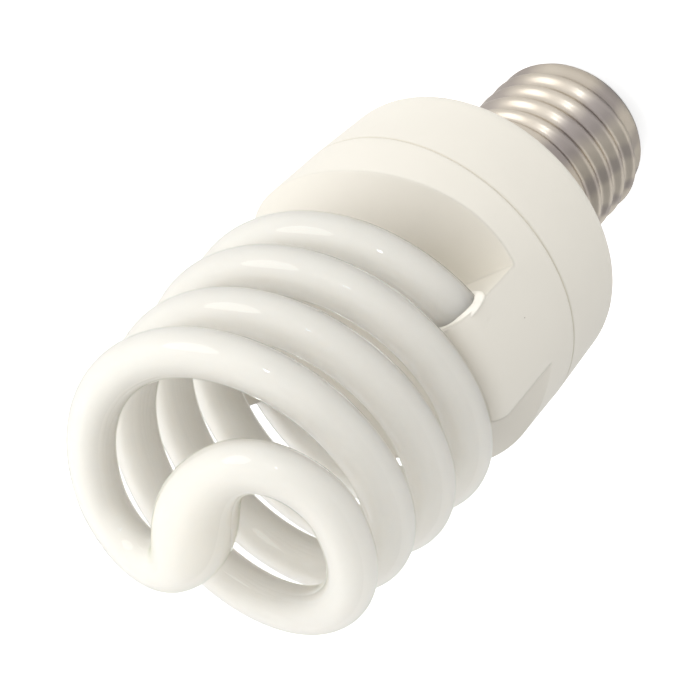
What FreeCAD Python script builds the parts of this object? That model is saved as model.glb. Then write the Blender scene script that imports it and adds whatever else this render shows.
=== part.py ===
import FreeCAD, Part

import math
import os
import re

import Sketcher
from FreeCAD import Placement, Rotation, Vector

# A compact fluorescent lamp with two glass strands wound as one double spiral.
# Millimetres. The lamp's axis is Z, the centre contact's end face lies in Z = 0,
# and the screw cap points down, so the spiral's bridge is the highest point.

SHEET = "Sizes"

# Every driving size: name, value, meaning
SIZES = [
    ("contact_radius", 4.8, "centre contact disc"),
    ("contact_thickness", 1.0, "centre contact disc"),
    ("contact_bevel", 0.35, "centre contact edge"),
    ("eyelet_radius", 1.2, "hole for the live lead"),
    ("solder_bevel", 0.15, "rounded edge of the solder"),
    ("insulator_foot_radius", 6.2, "insulator where it meets the contact"),
    ("insulator_rim_radius", 11.3, "insulator where it meets the shell"),
    ("insulator_plug", 2.2, "depth of the insulator inside the shell"),
    ("shell_foot", 4.4, "shell's lower end"),
    ("shell_mouth", 31.2, "shell's open end"),
    ("sheet_thickness", 0.3, "rolled sheet of the shell"),
    ("thread_root_radius", 12.2, "cap thread"),
    ("thread_crest_radius", 13.15, "cap thread"),
    ("thread_pitch", 3.629, "cap thread"),
    ("thread_ridge_radius", 1.45, "rounding of the thread's ridge"),
    ("thread_start", 5.9, "height of the first ridge's middle"),
    ("thread_turns", 4.15, "turns of the thread"),
    ("foot_turn_in", 1.1, "sloped foot of the shell"),
    ("skirt_radius", 13.0, "smooth part of the shell"),
    ("skirt_height", 8.6, "smooth part of the shell"),
    ("skirt_slope", 1.0, "step between thread and skirt"),
    ("fit_clearance", 0.15, "between pieces that slide together"),
    ("neck_foot", 9.4, "lower end of the housing's neck"),
    ("neck_wall", 1.3, "housing's neck"),
    ("parting_height", 49.6, "seam between housing and holder"),
    ("back_radius", 24.1, "housing's back corner"),
    ("back_height", 34.9, "housing's back corner"),
    ("back_rounding", 4.2, "housing's back corner"),
    ("seam_radius", 25.0, "both covers at the seam"),
    ("seam_bevel", 0.18, "fine groove at the seam"),
    ("cover_wall", 1.6, "plastic of both covers"),
    ("rib_count", 6, "ribs that carry the board"),
    ("rib_width", 1.2, "ribs that carry the board"),
    ("rib_reach", 1.5, "ribs that carry the board"),
    ("rib_height", 6.5, "ribs that carry the board"),
    ("brow_radius", 25.6, "holder at its shoulder"),
    ("holder_rise", 22.6, "holder's top above the seam"),
    ("shoulder_rounding", 3.6, "holder's top edge"),
    ("spigot_depth", 2.5, "holder's collar inside the housing"),
    ("spigot_wall", 1.3, "holder's collar inside the housing"),
    ("spigot_play", 0.38, "between the collar and the housing"),
    ("scoop_floor", 7.0, "scoop's floor above the seam"),
    ("scoop_swell", 3.6, "rise of the scoop's rim halfway round"),
    ("scoop_start_angle", -22.0, "direction in which a scoop starts"),
    ("scoop_wall_angle", -163.4, "direction of the wall that ends it"),
    ("scoop_start_slope", 68.0, "scoop's slope where it starts"),
    ("scoop_end_slope", 3.0, "scoop's slope at its wall"),
    ("scoop_start_reach", 19.0, "scoop's inner side where it starts"),
    ("scoop_end_reach", 11.5, "scoop's inner side at its wall"),
    ("scoop_rounding", 3.0, "scoop's inner corner"),
    ("scoop_slope_curve", 1.3, "how fast the slope eases along the scoop"),
    ("scoop_reach_curve", 0.8, "how fast the scoop widens inwards"),
    ("scoop_swell_pace", 1.4, "how early the rim's rise ends"),
    ("scoop_overreach", 6.0, "scoop's cutting form outside the holder"),
    ("scoop_overrise", 14.0, "scoop's cutting form above the holder"),
    ("hole_overrun", 1.0, "tube hole's cutting form past the wall"),
    ("tube_radius", 3.44, "glass tube"),
    ("spiral_radius", 21.4, "middle line of the glass tube"),
    ("spiral_flare", 0.95, "how much wider the strands' lower turns are"),
    ("flare_turns", 1.4, "turns above the wall that are wider"),
    ("spiral_lead", 18.75, "rise of one strand in a turn"),
    ("spiral_turns", 1.945, "turns of one strand from bridge to wall"),
    ("entry_rise", 17.5, "tube's middle above the seam at its wall"),
    ("tube_insert", 8.5, "length of tube behind the wall"),
    ("room_turns", 0.68, "turns over which the holder keeps clear of a strand"),
    ("bridge_radius", 5.84, "swollen middle of the bridge"),
    ("bridge_swell", 10.7, "length over which the bridge swells"),
    ("bridge_rise", 4.1, "bridge's middle above the strands' ends"),
    ("bridge_angle", 54.2, "direction of the bridge at its middle"),
    ("bridge_start_pull", 7.6, "straightness of the bridge's ends"),
    ("bridge_middle_pull", 19.9, "straightness of the bridge's middle"),
    ("cement_thickness", 0.3, "cement around a tube"),
    ("cement_collar", 1.1, "cement in front of the wall"),
    ("cement_spread", 1.3, "cement over the wall around the hole"),
    ("glass_play", 0.06, "between glass and cement"),
    ("board_radius", 22.3, "circuit board"),
    ("board_thickness", 1.6, "circuit board"),
    ("lead_radius", 0.55, "insulated leads"),
    ("filament_radius", 0.3, "bare wires of the glass tube"),
    ("pin_width", 0.9, "wrap pins"),
    ("pin_height", 7.0, "wrap pins"),
    ("pin_before", 3.8, "upper wire's pin, past the tube's end"),
    ("pin_behind", 0.4, "lower wire's pin, under the tube's end"),
    ("pin_place", 18.5, "wrap pins from the axis"),
    ("wire_start", 2.0, "straight start of a lower wire"),
    ("wire_start_upper", 3.2, "straight start of an upper wire"),
    ("wire_gap", 2.4, "between the two wires of a tube end"),
    ("wire_bend", 1.0, "bend of a bare wire"),
    ("lead_place", 7.6, "insulated leads from the axis"),
    ("lead_bend", 3.0, "bend of the live lead"),
    ("lead_turn", 1.2, "bend of the neutral lead"),
    ("bulk_radius", 5.0, "bulk capacitor"),
    ("bulk_length", 17.0, "bulk capacitor"),
    ("choke_length", 13.0, "choke core"),
    ("choke_depth", 11.0, "choke core"),
    ("choke_height", 7.6, "choke core"),
    ("choke_place", 13.2, "choke core from the axis"),
    ("choke_leg", 2.0, "outer legs and yokes of the choke core"),
    ("choke_flange", 0.6, "flanges of the choke's coil former"),
    ("toroid_radius", 4.3, "drive ring"),
    ("toroid_bore", 2.3, "drive ring"),
    ("toroid_height", 3.2, "drive ring"),
    ("winding_wire", 0.4, "wire on the drive ring"),
    ("winding_width", 2.4, "each winding on the drive ring"),
    ("winding_play", 0.45, "room for the ring's curve inside a winding"),
    ("film_length", 10.5, "film capacitors"),
    ("film_width", 4.6, "film capacitors"),
    ("film_height", 7.0, "film capacitors"),
    ("transistor_radius", 2.35, "transistors"),
    ("transistor_height", 4.8, "transistors"),
    ("diode_radius", 1.3, "rectifier diodes"),
    ("diode_length", 4.6, "rectifier diodes"),
    ("diode_spacing", 3.4, "rectifier diodes"),
    ("resistor_radius", 1.0, "resistors"),
    ("resistor_length", 5.0, "resistors"),
    ("resistor_spacing", 2.84, "resistors"),
    ("resistor_place", 19.4, "resistors from the axis"),
    ("fuse_radius", 1.6, "fusible resistor"),
    ("fuse_length", 7.5, "fusible resistor"),
    ("trigger_radius", 0.9, "trigger diode"),
    ("trigger_length", 3.4, "trigger diode"),
    ("drum_radius", 3.0, "filter coil"),
    ("drum_height", 6.5, "filter coil"),
]

NAMES = {name for name, _value, _meaning in SIZES}

os.makedirs("parts", exist_ok=True)
doc = FreeCAD.newDocument("SpiralLamp")

sheet = doc.addObject("Spreadsheet::Sheet", SHEET)
for row, (name, value, meaning) in enumerate(SIZES, start=1):
    sheet.set(f"A{row}", meaning)
    sheet.set(f"B{row}", str(value))
    sheet.setAlias(f"B{row}", name)
doc.recompute()


def size(name):
    """A driving size as a number, for shapes that Part's functions make."""
    return float(sheet.get(name))


def linked(text):
    """An expression whose size names point into the sheet."""
    return re.sub(r"[a-z_]+", lambda m: f"{SHEET}.{m.group()}" if m.group() in NAMES else m.group(), text)


def bind(thing, **properties):
    """Binds properties to expressions of the sheet's sizes."""
    for path, text in properties.items():
        thing.setExpression(path.replace("__", "."), linked(text))


def value_of(text):
    """What an expression of the sheet's sizes comes to."""
    return float(sheet.evalExpression(linked(text)))


def origin_plane(body, role):
    return next(f for f in body.Origin.OriginFeatures if f.Role == role)


def outline(body, name, plane, corners, offset="0"):
    """A closed sketch whose corners are given as pairs of expressions."""
    sketch = body.newObject("Sketcher::SketchObject", name)
    sketch.AttachmentSupport = [(origin_plane(body, plane), "")]
    sketch.MapMode = "FlatFace"
    bind(sketch, AttachmentOffset__Base__z=offset)
    points = [Vector(value_of(across), value_of(up), 0) for across, up in corners]
    last = len(points) - 1
    for index, point in enumerate(points):
        sketch.addGeometry(Part.LineSegment(point, points[0 if index == last else index + 1]), False)
    for index in range(len(points)):
        follower = 0 if index == last else index + 1
        sketch.addConstraint(Sketcher.Constraint("Coincident", index, 2, follower, 1))
    for index, (across, up) in enumerate(corners):
        for letter, kind, axis, text in (("x", "DistanceX", -2, across), ("y", "DistanceY", -1, up)):
            if text == "0":
                sketch.addConstraint(Sketcher.Constraint("PointOnObject", index, 1, axis))
                continue
            number = sketch.addConstraint(Sketcher.Constraint(kind, -1, 1, index, 1, value_of(text)))
            sketch.renameConstraint(number, f"{letter}{index}")
            sketch.setExpression(f"Constraints.{letter}{index}", linked(text))
    return sketch


def turned(label, corners):
    """A body made by turning an outline of (radius, height) corners about the axis."""
    body = doc.addObject("PartDesign::Body", label)
    body.Label = label
    sketch = outline(body, f"{label}_outline", "XZ_Plane", corners)
    solid = body.newObject("PartDesign::Revolution", f"{label}_turned")
    solid.Profile = sketch
    solid.ReferenceAxis = (sketch, ["V_Axis"])
    solid.Angle = 360.0
    sketch.Visibility = False
    return body


def round_edges(body, name, radius, is_wanted):
    """Rounds the edges of the body's last feature that the test picks."""
    doc.recompute()
    base = body.Tip
    picked = [f"Edge{n}" for n, edge in enumerate(base.Shape.Edges, start=1) if is_wanted(edge)]
    fillet = body.newObject("PartDesign::Fillet", name)
    fillet.Base = (base, picked)
    bind(fillet, Radius=radius)
    return fillet


def ring_at(radius, height, slack=0.05):
    """A test for circular edges about the axis with this radius and height."""

    def is_ring(edge):
        curve = edge.Curve
        if not isinstance(curve, Part.Circle):
            return False
        return abs(curve.Radius - radius) < slack and abs(curve.Center.z - height) < slack

    return is_ring


def joined(kind, label, base, tool):
    """A Part boolean of two objects: Part::Fuse, Part::Cut or Part::Common."""
    result = doc.addObject(kind, label)
    result.Label = label
    result.Base = base
    result.Tool = tool
    return result


def cylinder(label, radius, height, x="0", y="0", z="0", along=None):
    """A cylinder that starts at a point and runs up, or along X or Y."""
    part = doc.addObject("Part::Cylinder", label)
    part.Label = label
    bind(part, Radius=radius, Height=height)
    if along == "X":
        part.Placement = Placement(Vector(), Rotation(Vector(0, 1, 0), 90))
    elif along == "Y":
        part.Placement = Placement(Vector(), Rotation(Vector(1, 0, 0), -90))
    bind(part, Placement__Base__x=x, Placement__Base__y=y, Placement__Base__z=z)
    return part


def block(label, length, width, height, x, y, z):
    """A box given by its sizes and the middle of its underside."""
    part = doc.addObject("Part::Box", label)
    part.Label = label
    bind(part, Length=length, Width=width, Height=height)
    bind(part, Placement__Base__x=f"{x} - ({length}) / 2")
    bind(part, Placement__Base__y=f"{y} - ({width}) / 2")
    bind(part, Placement__Base__z=z)
    return part


def gathered(label, parts):
    """Like pieces of one node, kept as separate solids."""
    group = doc.addObject("Part::Compound", label)
    group.Label = label
    group.Links = parts
    return group


def shaped(label, shape):
    """A node whose shape is worked out by Part's own functions."""
    part = doc.addObject("Part::Feature", label)
    part.Label = label
    part.Shape = shape
    part.Placement = Placement()
    return part


def polar(radius, degrees, height=0.0):
    angle = math.radians(degrees)
    return Vector(radius * math.cos(angle), radius * math.sin(angle), height)


def route(points, bend):
    """Straight runs joined by arcs that touch both runs."""
    edges = []
    start = points[0]
    for before, corner, after in zip(points, points[1:], points[2:]):
        back = (before - corner).normalize()
        ahead = (after - corner).normalize()
        half = back.getAngle(ahead) / 2
        reach = bend / math.tan(half)
        middle = (back + ahead).normalize()
        arc_middle = corner + middle * (bend / math.sin(half) - bend)
        arc_start = corner + back * reach
        arc_end = corner + ahead * reach
        edges.append(Part.LineSegment(start, arc_start).toShape())
        edges.append(Part.Arc(arc_start, arc_middle, arc_end).toShape())
        start = arc_end
    edges.append(Part.LineSegment(start, points[-1]).toShape())
    return Part.Wire(edges)


def wire_along(path, radius, is_helix=False):
    """A round wire that follows a path."""
    first = path.OrderedEdges[0]
    start = first.valueAt(first.FirstParameter)
    heading = first.tangentAt(first.FirstParameter)
    section = Part.Wire([Part.makeCircle(radius, start, heading)])
    return path.makePipeShell([section], True, is_helix)


def helix_wire(lead, rise, radius):
    """A helix about the axis that starts in X and rises from the origin's height."""
    return Part.Wire(Part.makeLongHelix(lead, rise, radius, 0, False).Edges)


# Centre contact: a flat disc with a hole for the live lead

centre_contact = turned("centre_contact", [
    ("eyelet_radius", "0"),
    ("contact_radius - contact_bevel", "0"),
    ("contact_radius", "contact_bevel"),
    ("contact_radius", "contact_thickness"),
    ("eyelet_radius", "contact_thickness"),
])

# Solder that closes the contact's hole

contact_solder = turned("contact_solder", [
    ("0", "0"),
    ("eyelet_radius - solder_bevel", "0"),
    ("eyelet_radius", "solder_bevel"),
    ("eyelet_radius", "contact_thickness"),
    ("0", "contact_thickness"),
])

# Insulator: a cone between contact and shell, with a plug inside the shell

insulator = turned("cap_insulator", [
    ("eyelet_radius", "contact_thickness"),
    ("insulator_foot_radius", "contact_thickness"),
    ("insulator_rim_radius", "shell_foot"),
    ("insulator_rim_radius - sheet_thickness - fit_clearance", "shell_foot"),
    ("insulator_rim_radius - sheet_thickness - fit_clearance", "shell_foot + insulator_plug"),
    ("eyelet_radius", "shell_foot + insulator_plug"),
])

# Screw shell: rolled sheet with a rounded thread, a sloped foot and a smooth skirt


def shell_skin(name, inset):
    """The shell's form without its thread, moved inwards by an inset."""
    step_top = "shell_mouth - skirt_height"
    return turned(name, [
        ("0", "shell_foot"),
        (f"insulator_rim_radius - {inset}", "shell_foot"),
        (f"thread_root_radius - {inset}", "shell_foot + foot_turn_in"),
        (f"thread_root_radius - {inset}", f"{step_top} - skirt_slope"),
        (f"skirt_radius - {inset}", step_top),
        (f"skirt_radius - {inset}", "shell_mouth"),
        ("0", "shell_mouth"),
    ])


def thread_ridge():
    """The thread's rounded ridge, swept along its helix."""
    middle_radius = size("thread_crest_radius") - size("thread_ridge_radius")
    rise = size("thread_pitch") * size("thread_turns")
    helix = helix_wire(size("thread_pitch"), rise, middle_radius)
    helix.translate(Vector(0, 0, size("thread_start")))
    return shaped("thread_ridge", wire_along(helix, size("thread_ridge_radius"), True))


shell_outer_skin = shell_skin("shell_outer_skin", "0")
shell_inner_skin = shell_skin("shell_inner_skin", "sheet_thickness")
shell_outside = joined("Part::Fuse", "shell_outside", shell_outer_skin, thread_ridge())
screw_shell = joined("Part::Cut", "screw_shell", shell_outside, shell_inner_skin)

# Ballast housing: the rear cover, with a neck that the screw shell is pressed on

NECK_RADIUS = "thread_root_radius - sheet_thickness - fit_clearance"
INNER_BACK = "back_height + cover_wall"

ballast_housing = turned("ballast_housing", [
    (f"{NECK_RADIUS} - neck_wall", "neck_foot"),
    (NECK_RADIUS, "neck_foot"),
    (NECK_RADIUS, "shell_mouth"),
    ("skirt_radius + fit_clearance * 2", "shell_mouth"),
    ("back_radius", "back_height"),
    ("seam_radius", "parting_height - seam_bevel"),
    ("seam_radius - seam_bevel", "parting_height"),
    ("seam_radius - cover_wall", "parting_height"),
    ("back_radius - cover_wall", INNER_BACK),
    (f"{NECK_RADIUS} - neck_wall", "shell_mouth + cover_wall * 2"),
])
round_edges(ballast_housing, "back_corner_rounding", "back_rounding",
            ring_at(size("back_radius"), size("back_height")))
round_edges(ballast_housing, "back_corner_inner_rounding", "back_rounding - cover_wall",
            ring_at(size("back_radius") - size("cover_wall"), size("back_height") + size("cover_wall")))
doc.recompute()

BOARD_TOP = "parting_height - spigot_depth"
BOARD_UNDERSIDE = "parting_height - spigot_depth - board_thickness"


def board_ribs(body):
    """Ribs on the housing's wall that the circuit board rests on."""
    inner = "seam_radius - cover_wall - rib_reach"
    outer = "back_radius - cover_wall / 2"
    half = "rib_width / 2"
    corners = [(inner, f"-({half})"), (outer, f"-({half})"), (outer, half), (inner, half)]
    rib = outline(body, "board_rib_outline", "XY_Plane", corners, f"{BOARD_UNDERSIDE} - rib_height")
    pad = body.newObject("PartDesign::Pad", "board_rib")
    pad.Profile = rib
    bind(pad, Length="rib_height")
    doc.recompute()
    ribs = body.newObject("PartDesign::PolarPattern", "board_ribs")
    ribs.Originals = [pad]
    ribs.Axis = (rib, ["N_Axis"])
    ribs.Angle = 360.0
    bind(ribs, Occurrences="rib_count")
    body.Tip = ribs


board_ribs(ballast_housing)

# Tube holder: the front cover, with two scoops that end in upright walls

HOLDER_TOP = "parting_height + holder_rise"
SPIGOT_RADIUS = "seam_radius - cover_wall - spigot_play"
SPIGOT_BORE = f"{SPIGOT_RADIUS} - spigot_wall"

holder_form = turned("holder_form", [
    ("0", BOARD_TOP),
    (SPIGOT_RADIUS, BOARD_TOP),
    (SPIGOT_RADIUS, "parting_height"),
    ("seam_radius - seam_bevel", "parting_height"),
    ("seam_radius", "parting_height + seam_bevel"),
    ("brow_radius", HOLDER_TOP),
    ("0", HOLDER_TOP),
])
round_edges(holder_form, "shoulder_rounding_outside", "shoulder_rounding",
            ring_at(size("brow_radius"), value_of(HOLDER_TOP)))

holder_cavity = turned("holder_cavity", [
    ("0", BOARD_TOP),
    (SPIGOT_BORE, BOARD_TOP),
    (SPIGOT_BORE, "parting_height + cover_wall"),
    ("seam_radius - cover_wall", "parting_height + cover_wall * 2"),
    ("brow_radius - cover_wall", f"{HOLDER_TOP} - cover_wall"),
    ("0", f"{HOLDER_TOP} - cover_wall"),
])
round_edges(holder_cavity, "shoulder_rounding_inside", "shoulder_rounding - cover_wall",
            ring_at(size("brow_radius") - size("cover_wall"), value_of(HOLDER_TOP) - size("cover_wall")))


STEEPEST_SKIN = math.radians(60)
SCOOP_SHARES = [0, 0.25, 0.5, 0.75, 1]


def scoop_section(share, turn, skin):
    """The scoop's section at a share of its length, grown by the skin's thickness."""
    sweep = size("scoop_wall_angle") - size("scoop_start_angle")
    overrun = math.degrees(skin / size("spiral_radius"))
    degrees = size("scoop_start_angle") + sweep * share + turn
    degrees += overrun * (1 if share == 0 else -1 if share == 1 else 0)
    slope_range = size("scoop_start_slope") - size("scoop_end_slope")
    slope = math.radians(size("scoop_end_slope") + slope_range * (1 - share) ** size("scoop_slope_curve"))
    reach_range = size("scoop_end_reach") - size("scoop_start_reach")
    reach = size("scoop_start_reach") + reach_range * share ** size("scoop_reach_curve") - skin
    rim = size("parting_height") + size("scoop_floor")
    rim += size("scoop_swell") * math.sin(math.pi * min(1.0, share * size("scoop_swell_pace")))
    rim -= skin / math.cos(min(slope, STEEPEST_SKIN))
    rounding = size("scoop_rounding")
    outer = size("brow_radius") + size("scoop_overreach")
    top = value_of(HOLDER_TOP) + size("scoop_overrise")
    rim_radius = size("seam_radius")
    foot = rim + (rim_radius - reach) * math.tan(slope)
    outer_floor = rim + (rim_radius - outer) * math.tan(slope)
    half = (math.pi / 2 - slope) / 2
    setback = rounding * math.tan(half)
    along_floor = Vector(math.cos(slope), 0, -math.sin(slope))
    corner = Vector(reach, 0, foot)
    floor_end = corner + along_floor * setback
    rise_start = corner + Vector(0, 0, setback)
    middle_heading = (along_floor + Vector(0, 0, 1)).normalize()
    arc_middle = corner + middle_heading * (rounding / math.cos(half) - rounding)
    far = Vector(outer, 0, outer_floor)
    ceiling_out = Vector(outer, 0, top)
    ceiling_in = Vector(reach, 0, top)
    wire = Part.Wire([
        Part.LineSegment(far, floor_end).toShape(),
        Part.Arc(floor_end, arc_middle, rise_start).toShape(),
        Part.LineSegment(rise_start, ceiling_in).toShape(),
        Part.LineSegment(ceiling_in, ceiling_out).toShape(),
        Part.LineSegment(ceiling_out, far).toShape(),
    ])
    wire.rotate(Vector(), Vector(0, 0, 1), degrees)
    return wire


def scoop(name, turn, skin):
    """The space of one scoop, lofted through its sections."""
    sections = [scoop_section(share, turn, skin) for share in SCOOP_SHARES]
    return shaped(name, Part.makeLoft(sections, True, False))


HALF_TURN = 180.0
scoops = gathered("scoops", [scoop("scoop_first", 0.0, 0.0), scoop("scoop_second", HALF_TURN, 0.0)])
thick_scoops = gathered("scoops_with_skin", [
    scoop("scoop_first_with_skin", 0.0, size("cover_wall")),
    scoop("scoop_second_with_skin", HALF_TURN, size("cover_wall")),
])
holder_hollow = joined("Part::Cut", "holder_hollow", holder_cavity, thick_scoops)
holder_scooped = joined("Part::Cut", "holder_scooped", holder_form, scoops)
holder_shell = joined("Part::Cut", "holder_shell", holder_scooped, holder_hollow)

# The strands' middle line: a helix each, wider at its foot, and an S-shaped bridge between them

FLARE_LEAN = 0.75
HEADING_STEP = 0.0005
WALL_HEIGHT = value_of("parting_height + entry_rise")
STRAND_TOP = WALL_HEIGHT + size("spiral_lead") * size("spiral_turns")


def strand_radius(turns_from_wall):
    """The spiral's radius, wider over the lower turns and plain again at the wall."""
    place = min(1.0, max(0.0, turns_from_wall / size("flare_turns")))
    swing = math.sin(math.pi * place ** FLARE_LEAN)
    return size("spiral_radius") + size("spiral_flare") * swing * swing


def strand_point(turns_from_wall, turn):
    """A point on a strand, counted in turns up from its wall."""
    degrees = size("scoop_wall_angle") + 360.0 * turns_from_wall + turn
    height = WALL_HEIGHT + size("spiral_lead") * turns_from_wall
    return polar(strand_radius(turns_from_wall), degrees, height)


def strand_heading(turns_from_wall, turn):
    """A strand's direction, upwards."""
    ahead = strand_point(turns_from_wall + HEADING_STEP, turn)
    return (ahead - strand_point(turns_from_wall - HEADING_STEP, turn)).normalize()


def bridge_half(turn):
    """One half of the bridge, from a strand's upper end to the lamp's axis."""
    start = strand_point(size("spiral_turns"), turn)
    heading = strand_heading(size("spiral_turns"), turn)
    middle = Vector(0, 0, STRAND_TOP + size("bridge_rise"))
    crossing = polar(1.0, size("bridge_angle") + turn)
    curve = Part.BezierCurve()
    curve.setPoles([
        start,
        start + heading * size("bridge_start_pull"),
        middle - crossing * size("bridge_middle_pull"),
        middle,
    ])
    return curve


def tube_ring(point, heading, radius):
    """A round section of the tube whose seam faces the cap."""
    side = Vector(0, 0, 1).cross(heading).normalize()
    down = side.cross(heading)
    frame = FreeCAD.Matrix(down.x, side.x, heading.x, point.x,
                           down.y, side.y, heading.y, point.y,
                           down.z, side.z, heading.z, point.z,
                           0, 0, 0, 1)
    ring = Part.makeCircle(radius)
    ring.Placement = Placement(frame)
    return Part.Wire([ring])


RINGS_PER_BRIDGE_HALF = 9
RINGS_PER_TURN = 24
LONGEST_LOFT = 0.8
INSERT_TURNS = size("tube_insert") / (2 * math.pi * size("spiral_radius"))


def strand_length(turn, radius, foot, top):
    """A length of a strand's round tube, lofted from one number of turns to another."""
    count = math.ceil((top - foot) * RINGS_PER_TURN)
    places = [foot + (top - foot) * number / count for number in range(count + 1)]
    rings = [tube_ring(strand_point(place, turn), strand_heading(place, turn), radius) for place in places]
    return Part.makeLoft(rings, True, False)


def strand_tube(turn, radius, insert_turns, top_turns):
    """A round tube along a strand, from a number of turns behind its wall to a number above it."""
    turns = insert_turns + top_turns
    count = math.ceil(turns / LONGEST_LOFT)
    ends = [turns * number / count - insert_turns for number in range(count + 1)]
    lengths = [strand_length(turn, radius, foot, top) for foot, top in zip(ends, ends[1:])]
    return lengths[0].fuse(lengths[1:]) if count > 1 else lengths[0]


def glass_strand(turn):
    return strand_tube(turn, size("tube_radius"), INSERT_TURNS, size("spiral_turns"))


def bridge_stations():
    """Point, heading and radius along one half of the bridge, up to its middle."""
    curve = bridge_half(0.0)
    for number in range(RINGS_PER_BRIDGE_HALF):
        place = number / RINGS_PER_BRIDGE_HALF
        left = curve.length(place, 1.0)
        growth = math.exp(-((left / size("bridge_swell")) ** 2))
        radius = size("tube_radius") + (size("bridge_radius") - size("tube_radius")) * growth
        yield curve.value(place), Vector(*curve.tangent(place)[0]), radius if number else size("tube_radius")


def opposite(station):
    """The same place on the other strand, half a turn round the axis and run downwards."""
    point, heading, radius = station
    return Vector(-point.x, -point.y, point.z), Vector(heading.x, heading.y, -heading.z), radius


def bridge_tube():
    """The S-shaped bridge, lofted through its sections."""
    half = list(bridge_stations())
    highest = Vector(0, 0, STRAND_TOP + size("bridge_rise"))
    middle = (highest, polar(1.0, size("bridge_angle")), size("bridge_radius"))
    stations = half + [middle] + [opposite(station) for station in reversed(half)]
    return Part.makeLoft([tube_ring(*station) for station in stations], True, False)


whole_tube = glass_strand(0.0).fuse([bridge_tube(), glass_strand(HALF_TURN)])
glass_spiral = shaped("glass_spiral", whole_tube.removeSplitter())


def wall_channel(radius, turn):
    """A straight round passage through a scoop's wall, along the tube."""
    heading = strand_heading(0.0, turn)
    start = strand_point(0.0, turn) + heading * size("hole_overrun")
    return Part.makeCylinder(radius, size("cover_wall") + size("hole_overrun") * 2, start, heading * -1)


HOLE_RADIUS = size("tube_radius") + size("cement_thickness")
tube_holes = gathered("tube_holes", [
    shaped(f"tube_hole_{number}", wall_channel(HOLE_RADIUS, turn))
    for number, turn in enumerate((0.0, HALF_TURN), start=1)
])
ROOM_BEHIND = INSERT_TURNS + size("cement_collar") / (2 * math.pi * size("spiral_radius"))
tube_rooms = gathered("tube_rooms", [
    shaped(f"tube_room_{number}",
           strand_tube(turn, size("tube_radius") + size("fit_clearance"), ROOM_BEHIND, size("room_turns")))
    for number, turn in enumerate((0.0, HALF_TURN), start=1)
])
holder_drilled = joined("Part::Cut", "holder_drilled", holder_shell, tube_holes)
tube_holder = joined("Part::Cut", "tube_holder", holder_drilled, tube_rooms)


def seal_cement(label, turn):
    """Cement between tube and wall, with a sloped collar in front of the wall."""
    heading = strand_heading(0.0, turn)
    wall_point = strand_point(0.0, turn)
    collar = size("cement_collar")
    depth = size("cover_wall") / 2
    front = size("tube_radius") + size("cement_thickness")
    back = front + size("cement_spread")
    cone = Part.makeCone(back, front, collar * 2, wall_point - heading * collar, heading)
    sleeve = Part.makeCylinder(HOLE_RADIUS, depth + collar, wall_point - heading * depth, heading)
    glass = Part.makeCylinder(size("tube_radius") + size("glass_play"), 8 * collar,
                              wall_point - heading * 4 * collar, heading)
    form = shaped(f"{label}_form", cone.fuse(sleeve).cut(glass))
    inside = joined("Part::Common", f"{label}_inside", form, holder_form)
    return joined("Part::Cut", label, inside, tube_holder)


first_cement = seal_cement("seal_cement_first", 0.0)
second_cement = seal_cement("seal_cement_second", HALF_TURN)

# Circuit board, held between the housing's ribs and the holder's collar

circuit_board = cylinder("circuit_board", "board_radius", "board_thickness", z=BOARD_UNDERSIDE)

# Where the parts stand on the board: x and y of each one's middle, or of its first end
LAYOUT = {
    "drive_ring": (-12.5, 6.8),
    "resonance_capacitor": (0.0, 14.5),
    "coupling_capacitor": (3.6, -15.5),
    "upper_transistor": (10.5, 11.0),
    "lower_transistor": (12.0, -11.0),
    "rectifier_diodes": (-15.0, -2.6),
    "fusible_resistor": (-11.0, -17.2),
    "trigger_diode": (-1.7, 9.2),
    "filter_coil": (-9.2, 15.2),
}


def place_of(label):
    """A part's x and y on the board, as text for expressions."""
    x, y = LAYOUT[label]
    return str(x), str(y)


def hung(height):
    """Height of the underside of a part that hangs from the board."""
    return f"{BOARD_UNDERSIDE} - ({height})"


bulk_capacitor = cylinder("bulk_capacitor", "bulk_radius", "bulk_length", z=hung("bulk_length"))

# Choke: a core with a middle leg, a coil former and its winding

CHOKE_LEG_BOTTOM = hung("choke_height - choke_leg")
CHOKE_WINDOW = "choke_height - choke_leg * 2"
CHOKE_CORE_DEPTH = "choke_depth / 2"
FORMER_SPAN = "choke_length - choke_leg * 2 - fit_clearance * 2"
FORMER_DEPTH = "choke_depth"
LEG_WIDTH = "choke_leg * 2"
choke_frame = block("choke_frame", "choke_length", CHOKE_CORE_DEPTH, "choke_height",
                    "choke_place", "0", hung("choke_height"))
choke_window = block("choke_window", "choke_length - choke_leg * 2", "choke_depth", CHOKE_WINDOW,
                     "choke_place", "0", CHOKE_LEG_BOTTOM)
choke_ring = joined("Part::Cut", "choke_ring", choke_frame, choke_window)
choke_middle = block("choke_middle", LEG_WIDTH, CHOKE_CORE_DEPTH, "choke_height",
                     "choke_place", "0", hung("choke_height"))
choke_core = joined("Part::Fuse", "choke_core", choke_ring, choke_middle)


def round_the_leg(label, span, depth, height, z, bore):
    """A square ring around the choke's middle leg."""
    outer = block(f"{label}_outer", span, depth, height, "choke_place", "0", z)
    hole = block(f"{label}_bore", f"{LEG_WIDTH} + 2 * ({bore})", f"{CHOKE_CORE_DEPTH} + 2 * ({bore})",
                 height, "choke_place", "0", z)
    return joined("Part::Cut", label, outer, hole)


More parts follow.
